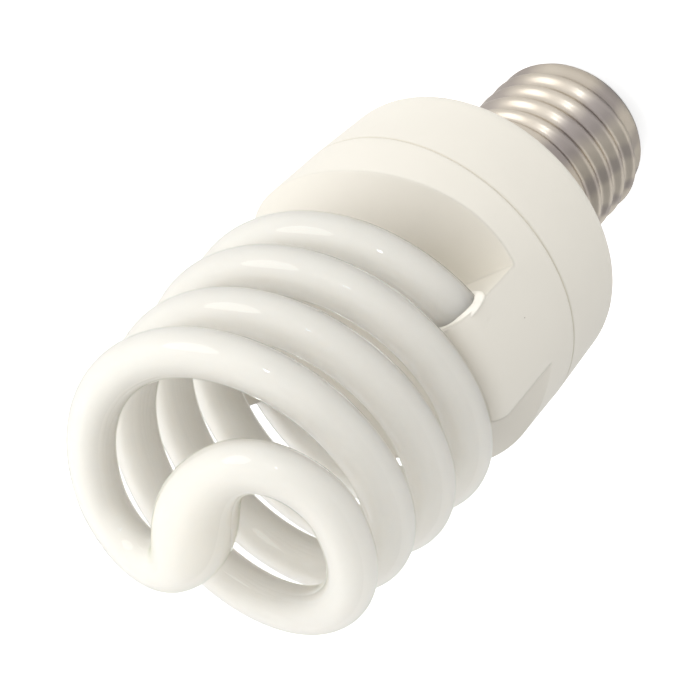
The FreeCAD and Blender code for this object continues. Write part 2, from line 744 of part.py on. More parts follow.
SLEEVE_BORE = "fit_clearance"
choke_former = gathered("choke_former", [
    round_the_leg("choke_lower_flange", FORMER_SPAN, FORMER_DEPTH, "choke_flange",
                  CHOKE_LEG_BOTTOM, SLEEVE_BORE),
    round_the_leg("choke_upper_flange", FORMER_SPAN, FORMER_DEPTH, "choke_flange",
                  f"{CHOKE_LEG_BOTTOM} + ({CHOKE_WINDOW}) - choke_flange", SLEEVE_BORE),
])
choke_winding = round_the_leg("choke_winding", f"{FORMER_SPAN} - choke_flange",
                              f"{FORMER_DEPTH} - choke_flange", f"{CHOKE_WINDOW} - choke_flange * 2",
                              f"{CHOKE_LEG_BOTTOM} + choke_flange", SLEEVE_BORE)

# Drive ring with three windings, which lies on the board on its windings

RING_PLACE = Vector(*LAYOUT["drive_ring"], 0)
RING_BASE = hung("toroid_height + winding_wire")
WINDING_ANGLES = (30, 150, 270)


def ring_pipe(label, radius, bore, height, z):
    outer = cylinder(f"{label}_outer", radius, height, str(RING_PLACE.x), str(RING_PLACE.y), z)
    hole = cylinder(f"{label}_bore", bore, height, str(RING_PLACE.x), str(RING_PLACE.y), z)
    return joined("Part::Cut", label, outer, hole)


drive_ring = ring_pipe("drive_ring", "toroid_radius", "toroid_bore", "toroid_height", RING_BASE)


def drive_winding(number, degrees):
    """A square loop of wire around the ring's section."""
    label = f"drive_winding_{number}"
    middle = "(toroid_radius + toroid_bore) / 2"
    inner_span = "toroid_radius - toroid_bore + winding_play * 2"
    outer = block(f"{label}_outer", f"{inner_span} + winding_wire * 2", "winding_width",
                  "toroid_height + winding_wire * 2", middle, "0", f"{RING_BASE} - winding_wire")
    hole = block(f"{label}_core", inner_span, "winding_width", "toroid_height", middle, "0", RING_BASE)
    loop = joined("Part::Cut", label, outer, hole)
    loop.Placement = Placement(RING_PLACE, Rotation(Vector(0, 0, 1), degrees))
    return loop


drive_windings = gathered("drive_windings", [
    drive_winding(number, degrees) for number, degrees in enumerate(WINDING_ANGLES, start=1)
])

# Film capacitors, transistors and the smaller parts, all flat against the board

resonance_capacitor, coupling_capacitor = [
    block(label, "film_length", "film_width", "film_height", *place_of(label), hung("film_height"))
    for label in ("resonance_capacitor", "coupling_capacitor")
]


def transistor(label):
    """A round-backed body with one flat side."""
    x, y = place_of(label)
    form = cylinder(f"{label}_round", "transistor_radius", "transistor_height", x, y,
                    hung("transistor_height"))
    flat = block(f"{label}_flat", "transistor_radius * 2", "transistor_radius", "transistor_height",
                 x, f"{y} + transistor_radius", hung("transistor_height"))
    return joined("Part::Cut", label, form, flat)


upper_transistor = transistor("upper_transistor")
lower_transistor = transistor("lower_transistor")


def rectifier_diode(number):
    """One diode of the row that turns the mains current into direct current."""
    x, y = place_of("rectifier_diodes")
    return cylinder(f"rectifier_diode_{number}", "diode_radius", "diode_length", x,
                    f"{y} - diode_spacing * {number}", hung("diode_radius"), along="X")


def standing_resistor(number):
    """One resistor that stands near the board's edge, in a row that follows it."""
    angle = f"{FIRST_RESISTOR_ANGLE} + {number} * resistor_spacing / resistor_place * 180 / pi"
    return cylinder(f"resistor_{number}", "resistor_radius", "resistor_length",
                    f"resistor_place * cos({angle})", f"resistor_place * sin({angle})",
                    hung("resistor_length"))


FIRST_RESISTOR_ANGLE = 60
PARTS_IN_A_ROW = 4
rectifier_diodes = gathered("rectifier_diodes", [rectifier_diode(n) for n in range(PARTS_IN_A_ROW)])
resistors = gathered("resistors", [standing_resistor(n) for n in range(PARTS_IN_A_ROW)])

fusible_resistor = cylinder("fusible_resistor", "fuse_radius", "fuse_length", *place_of("fusible_resistor"),
                            hung("fuse_radius"), along="X")
trigger_diode = cylinder("trigger_diode", "trigger_radius", "trigger_length", *place_of("trigger_diode"),
                         hung("trigger_radius"), along="X")
filter_coil = cylinder("filter_coil", "drum_radius", "drum_height", *place_of("filter_coil"),
                       hung("drum_height"))

# Wrap pins, with the bare wires that come from the tube's ends

PIN_FOOT = value_of(BOARD_TOP)
END_ANGLE = size("scoop_wall_angle") - 360.0 * INSERT_TURNS


def pin_angle(side, turn):
    """Direction of a pin: one lies under the tube's end, the other past it."""
    shift = -size("pin_before") if side > 0 else size("pin_behind")
    return END_ANGLE + turn + math.degrees(shift / size("pin_place"))


def wrap_pin(side, turn):
    width = size("pin_width")
    post = Part.makeBox(width, width, size("pin_height"), Vector(-width / 2, -width / 2, 0))
    post.Placement = Placement(polar(size("pin_place"), pin_angle(side, turn), PIN_FOOT),
                               Rotation(Vector(0, 0, 1), pin_angle(side, turn)))
    return post


def filament_wire(side, turn):
    """A bare wire from the tube's end face to the top of its pin."""
    heading = strand_heading(-INSERT_TURNS, turn)
    across = heading.cross(Vector(0, 0, 1).cross(heading).normalize())
    start = strand_point(-INSERT_TURNS, turn) + across * side * size("wire_gap") / 2
    clear = start - heading * size("wire_start_upper" if side > 0 else "wire_start")
    top = PIN_FOOT + size("pin_height") + size("filament_radius") / 2
    end = polar(size("pin_place"), pin_angle(side, turn), top)
    return wire_along(route([start, clear, end], size("wire_bend")), size("filament_radius"))


PLACES = [(side, turn) for turn in (0.0, HALF_TURN) for side in (1, -1)]
wrap_pins = shaped("wrap_pins", Part.makeCompound([wrap_pin(*place) for place in PLACES]))
filament_wires = shaped("filament_wires", Part.makeCompound([filament_wire(*place) for place in PLACES]))

# Insulated leads from the board to the contact and to the shell

LEAD_FLOOR = size("shell_foot") + size("insulator_plug") + size("lead_radius") * 2
LEAD_TOP = value_of(BOARD_UNDERSIDE)
LIVE_ANGLE = 250.0
NEUTRAL_ANGLE = 70.0
live_lead = shaped("live_lead", wire_along(route([
    polar(size("lead_place"), LIVE_ANGLE, LEAD_TOP),
    polar(size("lead_place"), LIVE_ANGLE, LEAD_FLOOR + size("lead_place")),
    Vector(0, 0, LEAD_FLOOR + size("lead_radius")),
    Vector(0, 0, size("contact_thickness")),
], size("lead_bend")), size("lead_radius")))

SHELL_BORE = size("thread_root_radius") - size("sheet_thickness")
neutral_lead = shaped("neutral_lead", wire_along(route([
    polar(size("lead_place"), NEUTRAL_ANGLE, LEAD_TOP),
    polar(size("lead_place"), NEUTRAL_ANGLE, LEAD_FLOOR),
    polar(SHELL_BORE - size("glass_play"), NEUTRAL_ANGLE, LEAD_FLOOR),
], size("lead_turn")), size("lead_radius")))

NODES = [
    centre_contact, contact_solder, insulator, screw_shell, ballast_housing, tube_holder,
    glass_spiral, first_cement, second_cement, circuit_board, bulk_capacitor, choke_core,
    choke_former, choke_winding, drive_ring, drive_windings, resonance_capacitor,
    coupling_capacitor, upper_transistor, lower_transistor, rectifier_diodes, resistors,
    fusible_resistor, trigger_diode, filter_coil, wrap_pins, filament_wires, live_lead,
    neutral_lead,
]

doc.recompute()
for thing in doc.Objects:
    if "Invalid" in thing.State or "Error" in thing.State:
        raise RuntimeError(f"{thing.Label} failed: {thing.State}")
for node in NODES:
    if node.Shape.isNull() or not node.Shape.isValid():
        raise RuntimeError(f"{node.Label} has no valid shape")
for node in NODES:
    node.Shape.exportStep(f"parts/{node.Label}.step")
    box = node.Shape.BoundBox
    print(f"{node.Label:22} {len(node.Shape.Solids)} solids {node.Shape.Volume / 1000:8.3f} cm3 "
          f"{box.XLength:7.2f} x {box.YLength:7.2f} x {box.ZLength:7.2f} mm")
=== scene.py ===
import math

import bmesh
import bpy
from bpy.props import FloatProperty, FloatVectorProperty, IntProperty, PointerProperty
from mathutils import Matrix, Vector, noise


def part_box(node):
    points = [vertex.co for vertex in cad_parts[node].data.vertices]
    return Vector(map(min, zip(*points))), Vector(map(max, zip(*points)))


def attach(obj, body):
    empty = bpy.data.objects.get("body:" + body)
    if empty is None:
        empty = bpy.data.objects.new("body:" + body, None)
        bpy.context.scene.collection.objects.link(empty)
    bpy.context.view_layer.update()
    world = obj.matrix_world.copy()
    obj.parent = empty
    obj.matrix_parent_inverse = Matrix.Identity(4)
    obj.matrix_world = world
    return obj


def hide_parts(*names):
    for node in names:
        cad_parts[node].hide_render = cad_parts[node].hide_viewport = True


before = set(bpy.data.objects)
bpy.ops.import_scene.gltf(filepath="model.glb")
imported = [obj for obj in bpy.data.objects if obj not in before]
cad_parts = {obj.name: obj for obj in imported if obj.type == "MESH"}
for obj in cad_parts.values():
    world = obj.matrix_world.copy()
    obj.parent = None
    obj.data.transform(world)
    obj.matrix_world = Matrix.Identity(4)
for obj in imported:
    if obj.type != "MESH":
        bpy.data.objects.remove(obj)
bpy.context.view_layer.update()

bl_info = {
    "name": "Spiral Lamp Looks",
    "version": (1, 0, 0),
    "blender": (4, 5, 0),
    "location": "View3D > Sidebar > Spiral Lamp",
    "description": "Glass, plastic and metal finishes for a spiral energy saving lamp",
    "category": "Object",
}

MM = 0.001
BODY = "root"
HALF_TURN = math.pi
UP = Vector((0.0, 0.0, 1.0))
MERGE_DISTANCE = 0.000001

# Strands: how far the flare leans to their feet, and the turns over which a heading is measured
FLARE_LEAN = 0.75
HEADING_STEP = 0.001

# Thread: turns over which its two ends run in and out
THREAD_RUN_IN = 0.4
THREAD_RUN_OUT = 0.5

# Row of punch marks on the shell: number, distance from the open end and radius
PUNCH_COUNT = 14
PUNCH_DEPTH = 0.0047
PUNCH_SIZE = 0.0009

# Worn rim of the shell's open end
RIM_WIDTH = 0.0005
RIM_EDGE = 0.0001

# Painted reflection: darker bands along the metal standing in for dark reflections, the last one a painted
# shade along one side; middle and half width in turns, and strength; and how far they wander
REFLECTION_BAND_WANDER = 0.05
PAINTED_REFLECTION_BANDS = ((0.585, 0.05, 0.55), (0.48, 0.03, 0.35), (0.39, 0.022, 0.45), (0.81, 0.08, 0.45))


def length(name, description, millimetres):
    """A length property whose default is given in millimetres."""
    return FloatProperty(name=name, description=description, default=millimetres * MM,
                         unit="LENGTH", subtype="DISTANCE", precision=6)


def angle(name, description, degrees):
    """An angle property whose default is given in degrees."""
    return FloatProperty(name=name, description=description, default=math.radians(degrees),
                         unit="ROTATION", subtype="ANGLE")


def colour(name, description, red, green, blue):
    """A colour property."""
    return FloatVectorProperty(name=name, description=description, default=(red, green, blue),
                               subtype="COLOR", size=3, min=0.0, max=1.0)


def held(value):
    """A value, held between nought and one."""
    return min(1.0, max(0.0, value))


def share(name, description, default):
    """A property between nought and one."""
    return FloatProperty(name=name, description=description, default=default,
                         subtype="FACTOR", min=0.0, max=1.0)


class LampTube(bpy.types.PropertyGroup):
    """Sizes of the glass tube."""

    radius: length("Radius", "Outer radius of the glass tube", 3.44)
    wall: length("Wall", "Thickness of the clear glass outside the white coating", 1.2)
    spiral_radius: length("Spiral radius", "Middle line of the tube from the lamp's axis", 21.4)
    lead: length("Lead", "Rise of one strand in a turn", 18.75)
    turns: FloatProperty(name="Turns", description="Turns of one strand", default=1.945)
    flare: length("Flare", "How much wider the strands' lower turns are", 0.9)
    flare_turns: FloatProperty(name="Flare turns", description="Turns above the holder that are wider",
                               default=1.4)
    wall_height: length("Wall height", "Where a strand leaves the holder", 67.1)
    wall_angle: angle("Wall angle", "Direction in which a strand leaves the holder", -163.4)
    insert: length("Insert", "Length of tube inside the holder", 8.5)
    bridge_radius: length("Bridge radius", "Swollen middle of the bridge", 5.84)
    bridge_swell: length("Bridge swell", "Length over which the bridge swells", 10.7)
    bridge_rise: length("Bridge rise", "Bridge's middle above the strands' ends", 4.1)
    bridge_angle: angle("Bridge angle", "Direction of the bridge at its middle", 54.2)
    start_pull: length("Start pull", "Straightness of the bridge's ends", 7.6)
    middle_pull: length("Middle pull", "Straightness of the bridge's middle", 19.9)
    rings_per_turn: IntProperty(name="Rings per turn", description="Fineness along a strand", default=84)
    bridge_rings: IntProperty(name="Bridge rings", description="Fineness of half the bridge", default=22)
    ring_points: IntProperty(name="Ring points", description="Fineness around the tube", default=40)


class LampShell(bpy.types.PropertyGroup):
    """Sizes of the screw shell."""

    foot: length("Foot", "Lower end", 4.4)
    mouth: length("Mouth", "Open end", 31.2)
    foot_radius: length("Foot radius", "Radius at the lower end", 11.3)
    root_radius: length("Root radius", "Bottom of the thread", 12.05)
    crest_radius: length("Crest radius", "Top of the thread", 13.13)
    skirt_radius: length("Skirt radius", "Smooth part", 13.0)
    pitch: length("Pitch", "Rise of the thread in a turn", 3.629)
    thread_start: length("Thread start", "Height of the first ridge's middle", 5.9)
    thread_turns: FloatProperty(name="Thread turns", description="Turns of the thread", default=4.55)
    thread_phase: share("Thread phase", "Where around the shell the thread starts", 0.5)
    foot_height: length("Foot height", "Height of the sloped foot", 1.1)
    step_foot: length("Step foot", "Where the step to the smooth part starts", 22.3)
    step_top: length("Step top", "Where the step to the smooth part ends", 23.8)
    sheet: length("Sheet", "Thickness of the sheet", 0.3)
    columns: IntProperty(name="Columns", description="Fineness around", default=144)
    rows: IntProperty(name="Rows", description="Fineness along", default=110)


class LampSeal(bpy.types.PropertyGroup):
    """Sizes of the cement where a tube leaves the holder."""

    spread: length("Spread", "Width of the cement on the holder's wall", 1.0)
    height: length("Height", "Height of the cement along the tube", 0.6)
    unevenness: share("Unevenness", "How much the cement's width changes around the tube", 0.4)


class LampColours(bpy.types.PropertyGroup):
    """Colours of the finishes."""

    ivory: colour("Ivory", "Both covers", 0.80, 0.768, 0.695)
    stain: colour("Stain", "Thin line at the seam of the covers", 0.55, 0.49, 0.34)
    coating: colour("Coating", "White coating inside the tube", 0.955, 0.895, 0.835)
    glass_edge: colour("Glass edge", "Tint of the glass seen along its wall", 0.54, 0.60, 0.40)
    nickel: colour("Nickel", "Plated sheet of the screw shell", 0.655, 0.595, 0.515)
    # Tarnish colour, also laid into the punch dents as painted shade
    tarnish_and_dent_shade: colour("Tarnish", "Handled places of the sheet", 0.38, 0.32, 0.25)
    # Painted reflection: colour of the dark bands painted along the sheet in place of reflections
    painted_reflection_band: colour("Band", "Darker bands along the sheet", 0.19, 0.165, 0.20)
    cement: colour("Cement", "Seal of the tube", 0.96, 0.925, 0.85)
    insulator: colour("Insulator", "Glass ring of the cap", 0.012, 0.012, 0.014)
    brass: colour("Brass", "Centre contact", 0.62, 0.47, 0.26)
    solder: colour("Solder", "Soldered joint", 0.60, 0.60, 0.61)
    speck: colour("Speck", "Dust", 0.20, 0.17, 0.14)


# Node helpers


class Nodes:
    """A node tree with short calls for adding and linking nodes."""

    def __init__(self, tree):
        self.tree = tree

    def add(self, kind, inputs=(), **settings):
        """Adds a node, sets its properties, and sets or links its inputs by name or number."""
        node = self.tree.nodes.new(kind)
        for name, value in settings.items():
            setattr(node, name, value)
        for key, value in dict(inputs).items():
            self.give(node, key, value)
        return node

    def give(self, node, key, value):
        """Links a socket to an input, or sets the input to a value."""
        if isinstance(value, bpy.types.NodeSocket):
            self.tree.links.new(value, node.inputs[key])
        elif value is not None:
            node.inputs[key].default_value = (*value, 1.0) if self.is_colour(node, key, value) else value

    @staticmethod
    def is_colour(node, key, value):
        return node.inputs[key].type == "RGBA" and len(value) == 3

    def math(self, operation, first, second=0.0, third=0.0):
        node = self.add("ShaderNodeMath", {0: first, 1: second}, operation=operation)
        if operation == "MULTIPLY_ADD":
            self.give(node, 2, third)
        return node.outputs[0]

    def ramp(self, value, low, high, bottom=0.0, top=1.0):
        """A value mapped smoothly from one range to another."""
        node = self.add("ShaderNodeMapRange", {"Value": value, "From Min": low, "From Max": high,
                                               "To Min": bottom, "To Max": top},
                        interpolation_type="SMOOTHSTEP")
        return node.outputs["Result"]

    def blend(self, factor, first, second, kind="MIX"):
        node = self.add("ShaderNodeMix", {0: factor, 6: first, 7: second}, data_type="RGBA", blend_type=kind)
        return node.outputs[2]

    def noise(self, place, scale, detail=3.0, roughness=0.5):
        node = self.add("ShaderNodeTexNoise", {"Vector": place, "Scale": scale, "Detail": detail,
                                               "Roughness": roughness})
        return node.outputs["Fac"]

    def place(self, stretch=(1.0, 1.0, 1.0)):
        """The piece's own coordinates, stretched along its axes."""
        source = self.add("ShaderNodeTexCoord").outputs["Object"]
        mapping = self.add("ShaderNodeMapping", {"Vector": source, "Scale": stretch})
        return mapping.outputs["Vector"]

    def bump(self, height, strength, distance, normal=None):
        node = self.add("ShaderNodeBump", {"Height": height, "Strength": strength, "Distance": distance,
                                           "Normal": normal})
        return node.outputs["Normal"]

    def soft_edges(self, radius):
        """The surface's normal, rounded over sharp edges."""
        return self.add("ShaderNodeBevel", {"Radius": radius}, samples=6).outputs["Normal"]


def new_group(name, inputs, outputs):
    """A shader node group with named sockets, its node helper, and its input and output nodes."""
    tree = bpy.data.node_groups.new(name, "ShaderNodeTree")
    kinds = {"value": "NodeSocketFloat", "colour": "NodeSocketColor", "vector": "NodeSocketVector"}
    for label, kind in inputs:
        tree.interface.new_socket(label, in_out="INPUT", socket_type=kinds[kind])
    for label, kind in outputs:
        tree.interface.new_socket(label, in_out="OUTPUT", socket_type=kinds[kind])
    nodes = Nodes(tree)
    return tree, nodes, nodes.add("NodeGroupInput").outputs, nodes.add("NodeGroupOutput")


def dust_group():
    """Rare tiny specks of dust."""
    tree, nodes, given, out = new_group(
        "dust specks",
        [("Place", "vector"), ("Base", "colour"), ("Speck", "colour"), ("Scale", "value"), ("Size", "value")],
        [("Color", "colour")])
    cells = nodes.add("ShaderNodeTexVoronoi", {"Vector": given["Place"], "Scale": given["Scale"]},
                      feature="F1")
    near = nodes.math("LESS_THAN", cells.outputs["Distance"], given["Size"])
    split = nodes.add("ShaderNodeSeparateColor", {0: cells.outputs["Color"]})
    rare = nodes.math("GREATER_THAN", split.outputs[0], 0.86)
    mask = nodes.math("MULTIPLY", near, rare)
    strength = nodes.math("MULTIPLY", mask, split.outputs[1])
    nodes.give(out, "Color", nodes.blend(strength, given["Base"], given["Speck"]))
    return tree


def mottle_group():
    """Slow and fine changes of colour and gloss over a surface."""
    tree, nodes, given, out = new_group(
        "mottle",
        [("Place", "vector"), ("Light", "colour"), ("Dark", "colour"), ("Scale", "value"),
         ("Amount", "value"), ("Rough", "value"), ("Rough Change", "value")],
        [("Color", "colour"), ("Roughness", "value"), ("Height", "value")])
    slow = nodes.noise(given["Place"], given["Scale"], detail=4.0)
    fine = nodes.noise(given["Place"], nodes.math("MULTIPLY", given["Scale"], 14.0), detail=2.0)
    factor = nodes.math("MULTIPLY", nodes.ramp(slow, 0.35, 0.7), given["Amount"])
    nodes.give(out, "Color", nodes.blend(factor, given["Light"], given["Dark"]))
    swing = nodes.math("MULTIPLY", nodes.math("SUBTRACT", fine, 0.5), given["Rough Change"])
    nodes.give(out, "Roughness", nodes.math("ADD", given["Rough"], swing))
    nodes.give(out, "Height", fine)
    return tree


def group_node(nodes, tree, **values):
    """Places a node group and returns its outputs."""
    node = nodes.add("ShaderNodeGroup", node_tree=tree)
    for name, value in values.items():
        nodes.give(node, name.replace("_", " "), value)
    return node.outputs


def shared(name, make):
    """A node group, made once."""
    return bpy.data.node_groups.get(name) or make()


def new_material(name):
    """An empty material and its node helper."""
    material = bpy.data.materials.new(name)
    material.use_nodes = True
    material.node_tree.nodes.clear()
    return material, Nodes(material.node_tree)


def close_material(nodes, **inputs):
    """Adds the surface shader and the material's output."""
    named = {name.replace("_", " "): value for name, value in inputs.items()}
    shader = nodes.add("ShaderNodeBsdfPrincipled", named)
    nodes.add("ShaderNodeOutputMaterial", {"Surface": shader.outputs[0]})


def mottled(name, light, dent_shade_and_worn_rim, scale, amount, rough, rough_change, bump=0.0, specks=None, **shader):
    """A material with mottled colour and gloss, a fine grain, and dust where a speck's colour is given."""
    material, nodes = new_material(name)
    place = nodes.place()
    made = group_node(nodes, shared("mottle", mottle_group), Place=place, Light=light, Dark=dent_shade_and_worn_rim,
                      Scale=scale, Amount=amount, Rough=rough, Rough_Change=rough_change)
    base = made["Color"]
    if specks:
        base = group_node(nodes, shared("dust specks", dust_group), Place=place, Base=base,
                          Speck=specks, Scale=260.0, Size=0.035)["Color"]
    normal = nodes.bump(made["Height"], bump, 0.0001) if bump else None
    close_material(nodes, Base_Color=base, Roughness=made["Roughness"], Normal=normal, **shader)
    return material


def darker(tone, factor):
    """A colour made darker by a factor."""
    return tuple(part * factor for part in tone)


def dress(node, material):
    """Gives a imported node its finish."""
    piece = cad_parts[node]
    piece.data.materials.clear()
    piece.data.materials.append(material)


# Pieces


def new_piece(name, bm, material):
    """Turns a finished bmesh into a piece that rides on the lamp."""
    bmesh.ops.remove_doubles(bm, verts=bm.verts, dist=MERGE_DISTANCE)
    bmesh.ops.recalc_face_normals(bm, faces=bm.faces)
    for face in bm.faces:
        face.smooth = True
    mesh = bpy.data.meshes.new(name)
    bm.to_mesh(mesh)
    bm.free()
    mesh.materials.append(material)
    piece = bpy.data.objects.new(name, mesh)
    bpy.context.scene.collection.objects.link(piece)
    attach(piece, BODY)
    return piece


def ring_matrix(point, heading):
    """A frame at a point whose Z runs along the heading."""
    side = UP.cross(heading).normalized()
    down = side.cross(heading)
    matrix = Matrix((down, side, heading)).transposed().to_4x4()
    matrix.translation = point
    return matrix


def add_ring(bm, point, heading, radius, points):
    """A circle of edges around a line."""
    made = bmesh.ops.create_circle(bm, cap_ends=False, radius=radius, segments=points,
                                   matrix=ring_matrix(point, heading))
    return list({edge for vert in made["verts"] for edge in vert.link_edges})


def lofted(bm, rings):
    """Joins rings one after the other."""
    for first, second in zip(rings, rings[1:]):
        bmesh.ops.bridge_loops(bm, edges=first + second)


def strand_point(tube, turns, start):
    """A point on a strand, counted in turns up from the holder."""
    turned = tube.wall_angle + 2 * math.pi * turns + start
    place = held(turns / tube.flare_turns)
    radius = tube.spiral_radius + tube.flare * math.sin(math.pi * place ** FLARE_LEAN) ** 2
    height = tube.wall_height + tube.lead * turns
    return Vector((radius * math.cos(turned), radius * math.sin(turned), height))


def strand_heading(tube, turns, start):
    """A strand's direction, upwards."""
    ahead = strand_point(tube, turns + HEADING_STEP, start)
    return (ahead - strand_point(tube, turns - HEADING_STEP, start)).normalized()


def bridge_stations(tube):
    """Points, headings and radii along the first half of the bridge."""
    start = strand_point(tube, tube.turns, 0.0)
    heading = strand_heading(tube, tube.turns, 0.0)
    middle = Vector((0.0, 0.0, start.z + tube.bridge_rise))
    crossing = Vector((math.cos(tube.bridge_angle), math.sin(tube.bridge_angle), 0.0))
    poles = (start, start + heading * tube.start_pull, middle - crossing * tube.middle_pull, middle)

    def point_at(t):
        s = 1 - t
        return poles[0] * s**3 + poles[1] * (3 * s * s * t) + poles[2] * (3 * s * t * t) + poles[3] * t**3

    def heading_at(t):
        s = 1 - t
        slope = ((poles[1] - poles[0]) * (s * s) + (poles[2] - poles[1]) * (2 * s * t)
                 + (poles[3] - poles[2]) * (t * t))
        return slope.normalized()

    count = tube.bridge_rings
    points = [point_at(i / count) for i in range(count + 1)]
    runs = [(b - a).length for a, b in zip(points, points[1:])]
    for i in range(1, count + 1):
        left = sum(runs[i:])
        growth = math.exp(-((left / tube.bridge_swell) ** 2))
        yield points[i], heading_at(i / count), tube.radius + (tube.bridge_radius - tube.radius) * growth


def tube_stations(tube):
    """Points, headings and radii from one end of the tube to the other."""
    behind = tube.insert / (2 * math.pi * tube.spiral_radius)
    steps = round((tube.turns + behind) * tube.rings_per_turn)
    half = []
    for i in range(steps + 1):
        turns = -behind + (tube.turns + behind) * i / steps
        half.append((strand_point(tube, turns, 0.0), strand_heading(tube, turns, 0.0), tube.radius))
    half += list(bridge_stations(tube))
    other = [(Vector((-p.x, -p.y, p.z)), Vector((h.x, h.y, -h.z)), r) for p, h, r in reversed(half[:-1])]
    return half + other


def tube_mesh(tube, inset):
    """The whole tube, closed at both ends, moved inwards by an inset."""
    bm = bmesh.new()
    stations = tube_stations(tube)
    first, last = stations[0], stations[-1]
    stations[0] = (first[0] + first[1] * inset, first[1], first[2])
    stations[-1] = (last[0] - last[1] * inset, last[1], last[2])
    rings = [add_ring(bm, point, heading, radius - inset, tube.ring_points)
             for point, heading, radius in stations]
    lofted(bm, rings)
    bmesh.ops.holes_fill(bm, edges=rings[0] + rings[-1], sides=0)
    return bm


def coating_material(colours):
    """White powder that lets a little light through."""
    return mottled("phosphor coating", colours.coating, darker(colours.coating, 0.975), scale=40.0,
                   amount=0.6, rough=0.55, rough_change=0.1, Subsurface_Weight=0.9,
                   Subsurface_Radius=(1.0, 0.95, 0.9), Subsurface_Scale=0.006)


CLEAR_GLASS = (0.97, 0.975, 0.96)


def glass_material(colours):
    """Clear glass, greenish where it is seen along its wall."""
    material, nodes = new_material("tube glass")
    place = nodes.place()
    facing = nodes.add("ShaderNodeLayerWeight", {"Blend": 0.5}).outputs["Facing"]
    tint = nodes.ramp(facing, 0.7, 1.0)
    base = nodes.blend(tint, CLEAR_GLASS, colours.glass_edge)
    dusty = group_node(nodes, shared("dust specks", dust_group), Place=place, Base=base,
                       Speck=colours.speck, Scale=150.0, Size=0.03)["Color"]
    smear = nodes.noise(place, 90.0, detail=2.0)
    rough = nodes.ramp(smear, 0.4, 0.75, 0.015, 0.05)
    glass = nodes.add("ShaderNodeBsdfPrincipled", {"Base Color": dusty, "Roughness": rough, "IOR": 1.47,
                                                   "Transmission Weight": 1.0})
    passing = nodes.add("ShaderNodeBsdfTransparent", {"Color": CLEAR_GLASS})
    from_lamps = nodes.add("ShaderNodeLightPath").outputs["Is Shadow Ray"]
    mixed = nodes.add("ShaderNodeMixShader", {0: from_lamps, 1: glass.outputs[0], 2: passing.outputs[0]})
    nodes.add("ShaderNodeOutputMaterial", {"Surface": mixed.outputs[0]})
    return material


class LAMP_OT_add_glass(bpy.types.Operator):
    """Adds the clear glass tube and the white coating inside it"""

    bl_idname = "lamp.add_glass"
    bl_label = "Add glass tube"

    def execute(self, context):
        tube = context.scene.lamp_tube
        colours = context.scene.lamp_colours
        coating = new_piece("tube_coating", tube_mesh(tube, tube.wall), coating_material(colours))
        glass = new_piece("tube_skin", tube_mesh(tube, 0.0), glass_material(colours))
        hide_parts("glass_spiral")
        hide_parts("glass_spiral")
        return {"FINISHED"}


def shell_radius(shell, height, turned):
    """The screw shell's outer radius at a height and a direction."""
    if height < shell.foot + shell.foot_height:
        rise = (height - shell.foot) / shell.foot_height
        return shell.foot_radius + (shell.root_radius - shell.foot_radius) * rise
    step = held((height - shell.step_foot) / (shell.step_top - shell.step_foot))
    step = step * step * (3 - 2 * step)
    plain = shell.root_radius + (shell.skirt_radius - shell.root_radius) * step
    along = (height - shell.thread_start) / shell.pitch
    turned = (turned - shell.thread_phase) % 1.0
    turns = round(along - turned) + turned
    across = along - turns
    run_in = held(turns / THREAD_RUN_IN)
    run_out = held((shell.thread_turns + THREAD_RUN_OUT / 2 - turns) / THREAD_RUN_OUT)
    ridge = 0.5 + 0.5 * math.cos(2 * math.pi * across)
    return plain + max(0.0, shell.crest_radius - plain) * ridge * (run_in * run_out)


def shell_mesh(shell):
    """The rolled sheet with its thread."""
    bm = bmesh.new()
    tall = shell.mouth - shell.foot
    bmesh.ops.create_cone(bm, cap_ends=False, segments=shell.columns, radius1=shell.skirt_radius,
                          radius2=shell.skirt_radius, depth=tall,
                          matrix=Matrix.Translation((0.0, 0.0, shell.foot + tall / 2)))
    upright = [e for e in bm.edges if abs(e.verts[0].co.z - e.verts[1].co.z) > tall / 2]
    bmesh.ops.subdivide_edges(bm, edges=upright, cuts=shell.rows, use_grid_fill=True)
    for vert in bm.verts:
        turned = math.atan2(vert.co.y, vert.co.x) / (2 * math.pi) % 1.0
        outwards = Vector((vert.co.x, vert.co.y, 0.0)).normalized()
        reach = shell_radius(shell, vert.co.z, turned)
        vert.co = outwards * reach + UP * vert.co.z
    bmesh.ops.recalc_face_normals(bm, faces=bm.faces)
    return bm


def round_place_group():
    """Direction around the lamp's axis from nought to one turn, and the height."""
    tree, nodes, given, out = new_group("round place", [("Place", "vector")],
                                        [("Turn", "value"), ("Height", "value")])
    parts = nodes.add("ShaderNodeSeparateXYZ", {0: given["Place"]}).outputs
    turned = nodes.math("ARCTAN2", parts["Y"], parts["X"])
    share_of_turn = nodes.math("MULTIPLY", turned, 1 / (2 * math.pi))
    nodes.give(out, "Turn", nodes.math("FRACT", nodes.math("ADD", share_of_turn, 1.0)))
    nodes.give(out, "Height", parts["Z"])
    return tree


def punch_mask(nodes, turn, height, shell):
    """Small round dents in a row under the shell's open end."""
    column = nodes.math("MULTIPLY", turn, PUNCH_COUNT)
    aside = nodes.math("ABSOLUTE", nodes.math("SUBTRACT", nodes.math("FRACT", column), 0.5))
    aside = nodes.math("MULTIPLY", aside, 2 * math.pi * shell.skirt_radius / PUNCH_COUNT)
    above = nodes.math("ABSOLUTE", nodes.math("SUBTRACT", height, shell.mouth - PUNCH_DEPTH))
    reach = nodes.math("SQRT", nodes.math("ADD", nodes.math("MULTIPLY", aside, aside),
                                          nodes.math("MULTIPLY", above, above)))
    return nodes.ramp(reach, PUNCH_SIZE * 0.4, PUNCH_SIZE, 1.0, 0.0)


